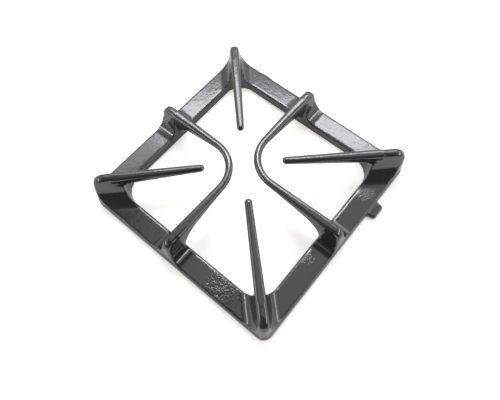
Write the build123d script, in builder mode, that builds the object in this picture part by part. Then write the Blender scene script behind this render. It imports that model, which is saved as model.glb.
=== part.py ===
import math
import os

from build123d import *

# Square bar frame, all sizes in millimetres
frame_side = 240.0        # outer side at the base
frame_shift_x = 5.5       # middle of the frame, measured from the burner axis
frame_shift_y = 0.5
bar_width = 25.5          # at the base
bar_height = 8.0
outer_corner = 10.0
left_corner = 22.0        # the front left corner is cast rounder
inner_corner = 22.0
bar_draft = 10.0          # degrees, walls of the bars
bar_round = 1.5           # top edges of the bars

# Height of the pan above the hob plate
pan_height = 37.0

# Four corner fingers
tip_circle = 40.0         # radius left free for the burner
finger_tip_width = 6.6
finger_heel_width = 10.3
finger_tip_depth = 5.0
finger_root_depth = 11.5
heel_round = 12.0
back_heel_shift = 1.1     # the heel in the back left corner sits a little off the corner

# Two bent bars that join neighbouring sides
bend_radius = 35.0
bend_width = 6.9
bent_root_width = 10.8
bend_depth = 5.5
bent_root_depth = 14.0
post_round = 9.0

# Blends where the fingers and bars rise from the frame
saddle_reach = 20.0       # foot of the blend, from the centre line
long_reach = 27.0         # the same, on the front sides of the left and right fingers
saddle_waist = 4.3        # half width where the blend dies into the upright
finger_blend = 10.0       # hollow under the root of a finger
bent_blend = 24.0         # hollow under the root of a bent bar
top_round = 2.8           # upper edges that carry the pan
under_bevel = 1.5
under_ease = 60.0         # soft change from level to sloping underside
post_inset = 1.2          # uprights stand this far inside the bar's outer wall
post_draft = 5.0          # degrees, outer faces of the uprights

# Locating lug on the outer wall
lug_y = 55.5
lug_root = 22.0
lug_tip = 16.0
lug_reach = 8.3
lug_height = 5.5
lug_round = 3.0
lug_bevel = 1.2

# Remains of a ground-off gate on the back wall
gate_x = -65.0
gate_length = 16.0
gate_proud = 1.6

bar_lean = math.tan(math.radians(bar_draft))
post_lean = math.tan(math.radians(post_draft))
half = frame_side / 2
opening_side = frame_side - 2 * bar_width
bar_slant = 1 / math.cos(math.radians(bar_draft))
flank_top = pan_height - top_round - 1
middle = Vector(frame_shift_x, frame_shift_y, 0)
up = Vector(0, 0, 1)
overshoot = 30.0


def side_plane(along):
    return Plane(origin=(0, 0, 0), x_dir=along, z_dir=along.cross(up))


def across_plane(along, distance):
    return Plane(origin=along * distance, x_dir=up.cross(along), z_dir=along)


def plan_plane(along):
    return Plane(origin=(0, 0, 0), x_dir=along, z_dir=up)


# Where the four fingers and the four bar roots lie
corners = (
    (Vector(-1, -1, 0), left_corner, saddle_reach, long_reach, 0),
    (Vector(1, -1, 0), outer_corner, saddle_reach, saddle_reach, 0),
    (Vector(1, 1, 0), outer_corner, long_reach, saddle_reach, 0),
    (Vector(-1, 1, 0), outer_corner, saddle_reach, saddle_reach, back_heel_shift),
)
sides = {
    "left": Vector(-1, 0, 0),
    "front": Vector(0, -1, 0),
    "right": Vector(1, 0, 0),
    "back": Vector(0, 1, 0),
}

corner_ways = []
blends = []
for quarter, corner, left_foot, right_foot, shift in corners:
    outer_point = middle + quarter * (half - corner * (1 - math.sqrt(0.5))) - Vector(shift, shift, 0)
    inner_point = middle + quarter * (opening_side / 2 - inner_corner * (1 - math.sqrt(0.5)))
    finger_way = (outer_point.normalized(), outer_point.length, inner_point.length)
    corner_ways.append(finger_way)
    blends.append((finger_way, left_foot, right_foot, heel_round))

side_ways = {}
for name, way in sides.items():
    wall = half + middle.dot(way)
    side_ways[name] = (way, wall, wall - bar_width)
    blends.append((side_ways[name], saddle_reach, saddle_reach, post_round))


def frame_outline(inset):
    with BuildSketch(Plane.XY) as outline:
        with Locations((frame_shift_x, frame_shift_y)):
            Rectangle(frame_side - 2 * inset, frame_side - 2 * inset)
        corners = outline.vertices().sort_by(Axis((0, 0, 0), (1, 1, 0)))
        fillet(corners[1:], outer_corner - inset)
        fillet(outline.vertices().sort_by(Axis((0, 0, 0), (1, 1, 0)))[0], left_corner - inset)
    return outline.sketch


# Flat bars of the frame
with BuildPart() as frame_bars:
    extrude(frame_outline(0), amount=bar_height, taper=bar_draft)
    with BuildSketch(Plane.XY):
        with Locations((frame_shift_x, frame_shift_y)):
            RectangleRounded(opening_side, opening_side, inner_corner)
    extrude(amount=bar_height, taper=-bar_draft, mode=Mode.SUBTRACT)
    fillet(frame_bars.faces().sort_by(Axis.Z)[-1].edges(), bar_round)

# Space that the uprights may fill: inside the outer walls
with BuildPart() as outer_limit:
    extrude(frame_outline(post_inset), amount=pan_height + 1, taper=post_draft)


def end_profile(way, reach, end_round):
    root_z = -1.0
    face = reach - post_inset
    top_point = (face - pan_height * post_lean, pan_height)
    with BuildSketch(side_plane(way)) as profile:
        with BuildLine():
            Polyline(
                (-overshoot, root_z),
                (face - root_z * post_lean, root_z),
                top_point,
                (-overshoot, pan_height),
                (-overshoot, root_z),
            )
        make_face()
        fillet(profile.vertices().sort_by_distance(top_point)[0], end_round)
    return profile.sketch


def flank_meets(foot):
    rise = flank_top - bar_height
    radius = (foot - saddle_waist - rise * bar_lean) / (bar_slant - bar_lean)
    return radius, (foot - radius / bar_slant, bar_height + radius - radius * bar_lean / bar_slant)


def saddle(way, reach, wall, left_foot, right_foot, end_round):
    left_radius, left_meet = flank_meets(left_foot)
    right_radius, right_meet = flank_meets(right_foot)
    with BuildPart() as blend:
        with BuildSketch(across_plane(way, wall - inner_corner)):
            with BuildLine():
                Polyline(
                    (-left_foot, bar_height),
                    (-left_foot, bar_height / 2),
                    (right_foot, bar_height / 2),
                    (right_foot, bar_height),
                )
                RadiusArc((right_foot, bar_height), right_meet, right_radius)
                Polyline(
                    right_meet,
                    (saddle_waist, flank_top),
                    (-saddle_waist, flank_top),
                    (-left_meet[0], left_meet[1]),
                )
                RadiusArc((-left_meet[0], left_meet[1]), (-left_foot, bar_height), left_radius)
            make_face()
        extrude(amount=reach - wall + inner_corner + overshoot)
        extrude(end_profile(way, reach, end_round), amount=frame_side, both=True, mode=Mode.INTERSECT)
    return blend.part


# Concave blends that rise from the bars to the uprights
with BuildPart() as saddles:
    for (way, reach, wall), left_foot, right_foot, end_round in blends:
        add(saddle(way, reach, wall, left_foot, right_foot, end_round))
    add(outer_limit.part, mode=Mode.INTERSECT)
    with BuildSketch(Plane.XY):
        with Locations((frame_shift_x, frame_shift_y)):
            RectangleRounded(opening_side, opening_side, inner_corner)
    extrude(amount=pan_height, taper=-bar_draft, mode=Mode.SUBTRACT)


def under_space(way, wall, start, depth, root_depth, blend):
    sunk = wall + 0.5
    root_z = pan_height - root_depth
    root_point = (sunk + root_z * bar_lean, root_z)
    with BuildSketch(side_plane(way)) as space:
        with BuildLine():
            Polyline(
                (-overshoot, pan_height - depth),
                (start, pan_height - depth),
                root_point,
                (sunk - overshoot * bar_lean, -overshoot),
                (-overshoot, -overshoot),
                (-overshoot, pan_height - depth),
            )
        make_face()
        fillet(space.vertices().sort_by_distance(root_point)[0], blend)
        fillet(space.vertices().sort_by_distance((start, pan_height - depth))[0], under_ease)
    return space.sketch


def corner_finger(way, reach, wall):
    half_tip = finger_tip_width / 2
    half_heel = finger_heel_width / 2
    with BuildPart() as finger:
        with BuildSketch(plan_plane(way)) as outline:
            with BuildLine():
                Polyline(
                    (tip_circle, -half_tip),
                    (reach, -half_heel),
                    (reach, half_heel),
                    (tip_circle, half_tip),
                    (tip_circle, -half_tip),
                )
            make_face()
            fillet(outline.vertices().sort_by_distance((0, 0, 0))[0:2], 0.94 * half_tip)
        extrude(amount=pan_height + 1)
        extrude(end_profile(way, reach, heel_round), amount=overshoot, both=True, mode=Mode.INTERSECT)
        space = under_space(way, wall, tip_circle, finger_tip_depth, finger_root_depth, finger_blend)
        extrude(space, amount=overshoot, both=True, mode=Mode.SUBTRACT)
        rim = finger.faces().filter_by(Axis.Z).sort_by(Axis.Z)[-1].edges()
        fillet(rim.sort_by_distance((0, 0, pan_height))[0:-1], top_round)
        belly = finger.faces().filter_by(lambda face: face.normal_at().Z < -0.9).sort_by(Axis.Z)[-1].edges()
        chamfer(belly.sort_by_distance((0, 0, pan_height))[0:-1], under_bevel)
    return finger.part


def bent_bar(first, second):
    half_bend = bend_width / 2
    half_root = bent_root_width / 2
    long_reach = max(first[1], second[1])
    slope = (half_root - half_bend) / (long_reach - bend_radius)
    outer = (half_bend - slope * bend_radius) / (1 + slope)
    inner = (half_bend - slope * bend_radius) / (1 - slope)
    end_a = first[1]
    end_b = second[1]
    half_a = half_bend + slope * (end_a - bend_radius)
    half_b = half_bend + slope * (end_b - bend_radius)
    sign = first[0].cross(second[0]).Z
    with BuildPart() as bar:
        with BuildSketch(Plane(origin=(0, 0, 0), x_dir=first[0], z_dir=up)) as outline:
            with BuildLine():
                Polyline(
                    (end_a, -sign * half_a),
                    (-outer, -sign * outer),
                    (-half_b, sign * end_b),
                    (half_b, sign * end_b),
                    (inner, sign * inner),
                    (end_a, sign * half_a),
                    (end_a, -sign * half_a),
                )
            make_face()
            fillet(outline.vertices().sort_by_distance((-outer, -sign * outer))[0], bend_radius + half_bend)
            fillet(outline.vertices().sort_by_distance((inner, sign * inner))[0], bend_radius - half_bend)
        extrude(amount=pan_height + 1)
        for way, reach, wall in (first, second):
            extrude(end_profile(way, reach, post_round), amount=frame_side, both=True, mode=Mode.INTERSECT)
        for way, reach, wall in (first, second):
            space = under_space(way, wall, bend_radius, bend_depth, bent_root_depth, bent_blend)
            extrude(space, amount=0.45 * bend_radius, both=True, mode=Mode.SUBTRACT)
        rim = bar.faces().filter_by(Axis.Z).sort_by(Axis.Z)[-1].edges()
        fillet(rim.sort_by_distance((0, 0, pan_height))[0:-2], top_round)
        belly = bar.faces().filter_by(lambda face: face.normal_at().Z < -0.99).sort_by(Axis.Z)[-1].edges()
        chamfer(belly.filter_by(GeomType.CIRCLE), under_bevel)
    return bar.part


# Locating lug on the outer wall of the right bar
with BuildPart() as lug:
    lug_root_x = frame_shift_x + half - bar_width / 4
    lug_tip_x = frame_shift_x + half + lug_reach
    with BuildSketch(Plane.XY):
        with BuildLine():
            Polyline(
                (lug_root_x, frame_shift_y + lug_y - lug_root / 2),
                (lug_tip_x, frame_shift_y + lug_y - lug_tip / 2),
                (lug_tip_x, frame_shift_y + lug_y + lug_tip / 2),
                (lug_root_x, frame_shift_y + lug_y + lug_root / 2),
                (lug_root_x, frame_shift_y + lug_y - lug_root / 2),
            )
        make_face()
    extrude(amount=lug_height)
    fillet(lug.edges().filter_by(Axis.Z).sort_by(Axis.X)[-2:], lug_round)
    chamfer(lug.faces().sort_by(Axis.Z)[-1].edges().sort_by(Axis.X)[1:], lug_bevel)

# Low swelling left on the back wall where the gate was ground off
with BuildPart() as gate:
    gate_wall = frame_shift_y + half - bar_height * bar_lean
    with BuildSketch(Plane.XY):
        with BuildLine():
            ThreePointArc(
                (gate_x - gate_length / 2, gate_wall),
                (gate_x, gate_wall + gate_proud),
                (gate_x + gate_length / 2, gate_wall),
            )
            Polyline(
                (gate_x + gate_length / 2, gate_wall),
                (gate_x + gate_length / 2, gate_wall - bar_width / 4),
                (gate_x - gate_length / 2, gate_wall - bar_width / 4),
                (gate_x - gate_length / 2, gate_wall),
            )
        make_face()
    extrude(amount=bar_height - bar_round / 2)

# One casting
with BuildPart() as pan_support:
    add(frame_bars.part)
    add(saddles.part)
    for way, reach, wall in corner_ways:
        add(corner_finger(way, reach, wall))
    add(bent_bar(side_ways["left"], side_ways["front"]))
    add(bent_bar(side_ways["right"], side_ways["back"]))
    add(lug.part)
    add(gate.part)

pan_support.part.label = "pan_support"
os.makedirs("parts", exist_ok=True)
export_step(pan_support.part, "parts/pan_support.step")
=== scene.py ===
import math
import bmesh
import bpy
from mathutils import Matrix, Vector


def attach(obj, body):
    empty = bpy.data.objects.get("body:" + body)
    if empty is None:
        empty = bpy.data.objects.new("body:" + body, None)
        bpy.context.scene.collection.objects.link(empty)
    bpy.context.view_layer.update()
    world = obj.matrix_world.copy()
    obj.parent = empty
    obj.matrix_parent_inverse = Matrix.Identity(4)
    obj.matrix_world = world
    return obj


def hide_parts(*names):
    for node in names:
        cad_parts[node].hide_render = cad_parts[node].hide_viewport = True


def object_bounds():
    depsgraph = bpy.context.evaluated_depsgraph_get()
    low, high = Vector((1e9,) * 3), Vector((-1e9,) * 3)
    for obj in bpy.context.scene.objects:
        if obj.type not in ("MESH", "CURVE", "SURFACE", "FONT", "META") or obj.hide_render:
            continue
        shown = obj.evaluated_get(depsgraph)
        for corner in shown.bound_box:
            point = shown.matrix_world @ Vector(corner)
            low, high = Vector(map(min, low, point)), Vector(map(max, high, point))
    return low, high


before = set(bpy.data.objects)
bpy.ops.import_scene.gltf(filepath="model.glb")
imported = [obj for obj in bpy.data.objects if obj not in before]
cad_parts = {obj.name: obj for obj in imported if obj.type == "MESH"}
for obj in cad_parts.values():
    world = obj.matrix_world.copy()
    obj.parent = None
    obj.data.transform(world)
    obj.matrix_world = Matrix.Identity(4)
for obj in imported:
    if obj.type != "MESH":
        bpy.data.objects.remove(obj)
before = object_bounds()
print("frame loaded", [round(v, 4) for v in (*before[0], *before[1])])


class Wire:     # a socket that can be used in sums
    def __init__(self, tree, socket):
        self.tree = tree
        self.socket = socket

    def math(self, operation, *values):
        node = self.tree.nodes.new("ShaderNodeMath")
        node.operation = operation
        for slot, value in zip(node.inputs, values):
            join(slot, value)
        return Wire(self.tree, node.outputs[0])

    def __add__(self, other):
        return self.math("ADD", self, other)

    def __radd__(self, other):
        return self.math("ADD", other, self)

    def __sub__(self, other):
        return self.math("SUBTRACT", self, other)

    def __rsub__(self, other):
        return self.math("SUBTRACT", other, self)

    def __mul__(self, other):
        return self.math("MULTIPLY", self, other)

    def __rmul__(self, other):
        return self.math("MULTIPLY", other, self)

    def __truediv__(self, other):
        return self.math("DIVIDE", self, other)

    def __rtruediv__(self, other):
        return self.math("DIVIDE", other, self)

    def clamp(self):
        return self.math("MAXIMUM", 0.0, self.math("MINIMUM", 1.0, self))


def join(slot, value):
    if isinstance(value, Wire):
        value.tree.links.new(value.socket, slot)
    else:
        slot.default_value = value


class Paint:
    def __init__(self, name):
        self.material = bpy.data.materials.new(name)
        self.material.use_nodes = True
        self.tree = self.material.node_tree
        self.tree.nodes.clear()

    def node(self, kind, settings, values, output=0):     # several outputs are named in a tuple
        made = self.tree.nodes.new(kind)
        for key, value in settings.items():
            setattr(made, key, value)
        for key, value in values.items():
            join(made.inputs[key], value)
        if isinstance(output, tuple):
            return [Wire(self.tree, made.outputs[name]) for name in output]
        return Wire(self.tree, made.outputs[output]) if len(made.outputs) else made

    def mixed(self, factor, first, second):
        return self.node("ShaderNodeMix", {"data_type": "RGBA"}, {0: factor, 6: first, 7: second}, 2)

    def finish(self, shader):
        self.node("ShaderNodeOutputMaterial", {}, {"Surface": shader})
        return self.material


def placed(name, bm):
    mesh = bpy.data.meshes.new(name)
    bm.to_mesh(mesh)
    made = bpy.data.objects.new(name, mesh)
    bpy.context.scene.collection.objects.link(made)
    return made


casting = {
    "merge": 0.000001,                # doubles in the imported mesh; all lengths in metres
    "voxel": 0.00106,                 # remesh size
    "thereAndBack": (0.5, -0.52),     # smoothing, and the way back so that nothing shrinks
    "soften": 4,                      # passes over every edge
    "dome": 16,                       # more passes over the tops of the uprights
    "domeFrom": (0.02, 0.1),          # height, and distance from the middle of the frame
    "bars": (0.0959, 0.1186, 0.008),  # inner and outer top edge of the bars from the middle, and their top
    "flare": 0.0014,                  # foot of the outer walls beyond their top edge
    "crown": (0.0036, 0.0003),        # reach and drop of the enamel towards the inner edge
    "lean": 0.034,                    # outward slope of the tops of the two back bars
    "over": (0.0012, 0.001),          # crown and lean end this far above the bars, after a fade this long
    "under": (0.0035, 0.0025),        # the same below the top of the bars
    "fuller": (0.00042, 0.0013),      # growth of the arms at each side, and of the fingers below
    "foot": 0.012,                    # height where that growth starts
    "fingers": (0.038, 0.012),        # start of a finger from the burner axis, and room beside its line
    "dark": (0.0222, 0.0219, 0.0219, 1),
    "pale": (0.033, 0.032, 0.0317, 1),
    "cloud": (26.0, 3.0),             # scale and detail of the change from dark to pale
    "roughness": (0.1, 0.17),
    "sheen": (60.0, 2.0),             # scale and detail of the change in roughness
    "refraction": 1.55,
    "specular": 1.0,
    "wave": (150.0, 1.0, 0.0001),     # scale, detail and height of the long waves in the enamel
    "peel": (400.0, 2.0, 0.00006),    # orange peel
    "pits": (540.0, 1.5, 0.0008),     # rough patches
    "calm": 0.075,                    # the coat is smoother on the bends, up to this far from the burner axis
    "patches": [                      # middle, radius and strength of each rough patch
        ((0.062, -0.108, 0.008), 0.028, 1.0),
        ((0.111, 0.064, 0.008), 0.015, 0.9),
        ((0.108, -0.031, 0.008), 0.011, 1.0),
    ],
}


def share(value):     # held between none and all
    return min(1.0, max(0.0, value))


def fromMiddle(place, middle):
    return max(abs(place.x - middle.x), abs(place.y - middle.y))


def smooth(bm, verts, factors):
    for factor in factors:
        bmesh.ops.smooth_vert(bm, verts=verts, factor=factor,
                              use_axis_x=True, use_axis_y=True, use_axis_z=True)


def remeshFine(piece, bm, v):
    remesh = piece.modifiers.new("fine", "REMESH")
    remesh.mode = "VOXEL"
    remesh.voxel_size = v["voxel"]
    fine = piece.evaluated_get(bpy.context.evaluated_depsgraph_get())
    bm.clear()
    bm.from_mesh(fine.to_mesh())
    fine.to_mesh_clear()
    piece.modifiers.clear()


def settleBars(bm, middle, v):     # crown and lean of the flat bars
    inner, _, top = v["bars"]
    reach, drop = v["crown"]
    over, overFade = v["over"]
    under, underFade = v["under"]
    for vert in bm.verts:
        edge = fromMiddle(vert.co, middle) - inner
        level = share((top + over - vert.co.z) / overFade)
        level *= share((vert.co.z - top + under) / underFade)
        fall = v["lean"] * max(0.0, middle.x - vert.co.x - inner, vert.co.y - middle.y - inner)
        if edge < reach:
            fall += drop * (1 - max(0.0, edge) / reach) ** 2
        vert.co.z -= level * fall


def growArms(bm, middle, v):
    inner, outer, _ = v["bars"]
    side, below = v["fuller"]
    start, room = v["fingers"]
    bm.normal_update()
    for vert in bm.verts:
        grow = share(vert.co.z / v["foot"] - 1)
        grow *= share((outer - fromMiddle(vert.co, middle)) / (outer - inner))     # the outer walls stay
        beside = abs(abs(vert.co.x) - abs(vert.co.y)) / math.sqrt(2)
        finger = vert.co.xy.length > start and beside < room
        vert.co.xy += vert.normal.xy * side * grow
        if finger:
            vert.co.z += min(0.0, vert.normal.z) * below * grow


def buildCasting(v):
    bm = bmesh.new()
    bm.from_mesh(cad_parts["pan_support"].data)
    bmesh.ops.remove_doubles(bm, verts=bm.verts, dist=v["merge"])
    bmesh.ops.recalc_face_normals(bm, faces=bm.faces)
    piece = placed("casting", bm)
    remeshFine(piece, bm, v)

    half = v["bars"][1] + v["flare"]
    middle = Vector((before[0][0] + half, before[0][1] + half, 0))
    settleBars(bm, middle, v)
    smooth(bm, bm.verts[:], v["thereAndBack"] * v["soften"])
    growArms(bm, middle, v)
    smooth(bm, bm.verts[:], v["thereAndBack"])
    height, out = v["domeFrom"]
    tops = [vert for vert in bm.verts if vert.co.z > height and fromMiddle(vert.co, middle) > out]
    smooth(bm, tops, v["thereAndBack"][:1] * v["dome"])
    for vert in bm.verts:     # nothing leaves the box of the solid
        vert.co = [min(max(c, low), high) for c, low, high in zip(vert.co, *before)]
    for face in bm.faces:
        face.smooth = True
    bm.to_mesh(piece.data)
    print("casting has", len(bm.faces), "faces")
    bm.free()
    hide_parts("pan_support")
    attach(piece, "root")
    return piece


def enamelPaint(v):
    p = Paint("enamel")
    place = p.node("ShaderNodeTexCoord", {}, {}, "Object")

    def noise(scale, detail):
        return p.node("ShaderNodeTexNoise", {}, {"Vector": place, "Scale": scale, "Detail": detail})

    def relief(scale, detail, height):
        return noise(scale, detail) * height

    def distance(point):
        return p.node("ShaderNodeVectorMath", {"operation": "DISTANCE"}, {0: place, 1: point}, "Value")

    rough = 0.0
    for middle, radius, strength in v["patches"]:
        rough = (1.0 - distance(middle) / radius).clamp() * strength + rough
    calm = (distance((0, 0, before[1][2])) / v["calm"]).clamp()
    height = (relief(*v["wave"]) + relief(*v["peel"])) * calm + relief(*v["pits"]) * rough.clamp()
    bump = p.node("ShaderNodeBump", {}, {"Height": height, "Distance": 1.0, "Strength": 1.0})
    low, high = v["roughness"]
    return p.finish(p.node("ShaderNodeBsdfPrincipled", {}, {
        "Base Color": p.mixed(noise(*v["cloud"]), v["dark"], v["pale"]),
        "Roughness": low + (high - low) * noise(*v["sheen"]),
        "IOR": v["refraction"],
        "Specular IOR Level": v["specular"],
        "Normal": bump,
    }))


piece = buildCasting(casting)
piece.data.materials.append(enamelPaint(casting))
print("casting made")


table = {
    "size": 8.4,
    "colour": (0.9, 0.9, 0.885, 1),
    "glow": (0.47, 0.46, 0.445, 1),     # what the white table adds for the eye
    "reflected": 0.3,                   # share of that in reflections
    "black": (0, 0, 0, 1),
}


def buildTable(v):
    bm = bmesh.new()
    bmesh.ops.create_grid(bm, x_segments=1, y_segments=1, size=v["size"] / 2)
    top = placed("table", bm)
    bm.free()
    p = Paint("tableWhite")
    rays = ("Is Camera Ray", "Is Glossy Ray", "Is Transmission Ray")
    eye, glossy, through = p.node("ShaderNodeLightPath", {}, {}, rays)
    glow = p.mixed(eye + (glossy + through) * v["reflected"], v["black"], v["glow"])
    plain = p.node("ShaderNodeBsdfDiffuse", {}, {"Color": v["colour"]})
    white = p.node("ShaderNodeEmission", {}, {"Color": glow})
    top.data.materials.append(p.finish(p.node("ShaderNodeAddShader", {}, {0: plain, 1: white})))


backdrop = {
    "radius": 4.2,
    "height": 4.0,
    "sides": 64,
    "paper": (1.0, 1.0, 0.99, 1),
}


def buildBackdrop(v):     # white paper round the table
    bm = bmesh.new()
    bmesh.ops.create_cone(bm, segments=v["sides"], radius1=v["radius"], radius2=v["radius"],
                          depth=v["height"], cap_ends=False)
    bmesh.ops.translate(bm, verts=bm.verts, vec=(0, 0, v["height"] / 2))
    wall = placed("backdrop", bm)
    bm.free()
    p = Paint("backdropPaper")
    wall.data.materials.append(p.finish(p.node("ShaderNodeEmission", {}, {"Color": v["paper"]})))
    wall.visible_diffuse = False     # lights nothing, only stands behind
    wall.visible_glossy = False
    wall.visible_shadow = False


buildTable(table)
buildBackdrop(backdrop)
print("table and backdrop made")


# azimuth clockwise from +Y, elevation, distance in metres, width and height in degrees,
# glow (the brightness seen in the enamel) and tint
lights = {
    "softbox": (-36, 52.6, 4.0, 34, 7.2, 6.2, (1.0, 0.985, 1.05)),
    "tube": (-40, 60, 3.8, 15, 3, 20, (1.0, 0.985, 1.04)),
    "sidebox": (-70, 52.5, 4.1, 12, 8, 1.2, (1.0, 0.985, 1.05)),
    "screen": (-36, 37, 4.6, 58, 45, 1.1, (1.0, 0.985, 1.04)),
    "leftStrip": (-131, 35.5, 3.0, 34, 7, 6, (1.0, 1.0, 0.98)),
    "rightStrip": (52, 35.5, 3.0, 64, 7, 5, (1.0, 1.0, 1.0)),
    "leftWall": (-120, 28, 5.0, 86, 66, 0.6, (1.0, 1.0, 1.0)),
    "rightWall": (35, 28, 5.0, 86, 66, 0.75, (1.0, 1.0, 1.0)),
    "ceiling": (-29, 74.5, 5.0, 40, 26, 0.62, (1.0, 1.0, 1.03)),
}


def buildLight(name, azimuth, elevation, distance, wide, high, glow, tint):
    data = bpy.data.lights.new(name, "AREA")
    data.shape = "RECTANGLE"
    data.size = 2 * distance * math.tan(math.radians(wide / 2))
    data.size_y = 2 * distance * math.tan(math.radians(high / 2))
    data.energy = glow * math.pi * data.size * data.size_y
    data.color = tint
    a, e = math.radians(azimuth), math.radians(elevation)
    way = Vector((math.sin(a) * math.cos(e), math.cos(a) * math.cos(e), math.sin(e)))
    turn = (-way).to_track_quat("-Z", "Y").to_matrix().to_4x4()     # faces the burner axis
    lamp = bpy.data.objects.new(name, data)
    bpy.context.scene.collection.objects.link(lamp)
    lamp.matrix_world = Matrix.Translation(way * distance) @ turn


room = {
    "colour": (0.1, 0.1, 0.1, 1),     # faint light from all sides
}


def buildRoom(v):
    world = bpy.data.worlds.new("room")
    world.use_nodes = True
    world.node_tree.nodes["Background"].inputs["Color"].default_value = v["colour"]
    bpy.context.scene.world = world


for name, values in lights.items():
    buildLight(name, *values)
buildRoom(room)
print("lights made")


cameraValues = {
    "eye": (0.151269, -0.162524, 0.432518),
    "azimuth": 41.5466,
    "elevation": 65.5345,
    "roll": -1.9926,
    "lens": 32.44,
    "sensor": 36,
    "nearest": 0.01,     # start of what it sees
}


def buildCamera(v):
    data = bpy.data.cameras.new("camera")
    data.lens = v["lens"]
    data.sensor_width = v["sensor"]
    data.sensor_fit = "HORIZONTAL"
    data.clip_start = v["nearest"]
    a, e, r = (math.radians(v[k]) for k in ("azimuth", "elevation", "roll"))
    back = Vector((math.sin(a) * math.cos(e), -math.cos(a) * math.cos(e), math.sin(e)))
    side = Vector((math.cos(a), math.sin(a), 0))
    rise = back.cross(side)
    right = math.cos(r) * side + math.sin(r) * rise
    up = math.cos(r) * rise - math.sin(r) * side
    cam = bpy.data.objects.new("camera", data)
    bpy.context.scene.collection.objects.link(cam)
    cam.matrix_world = Matrix.Translation(v["eye"]) @ Matrix((right, up, back)).transposed().to_4x4()
    bpy.context.scene.camera = cam


buildCamera(cameraValues)
bpy.context.scene.view_settings.view_transform = "Standard"
print("camera made")
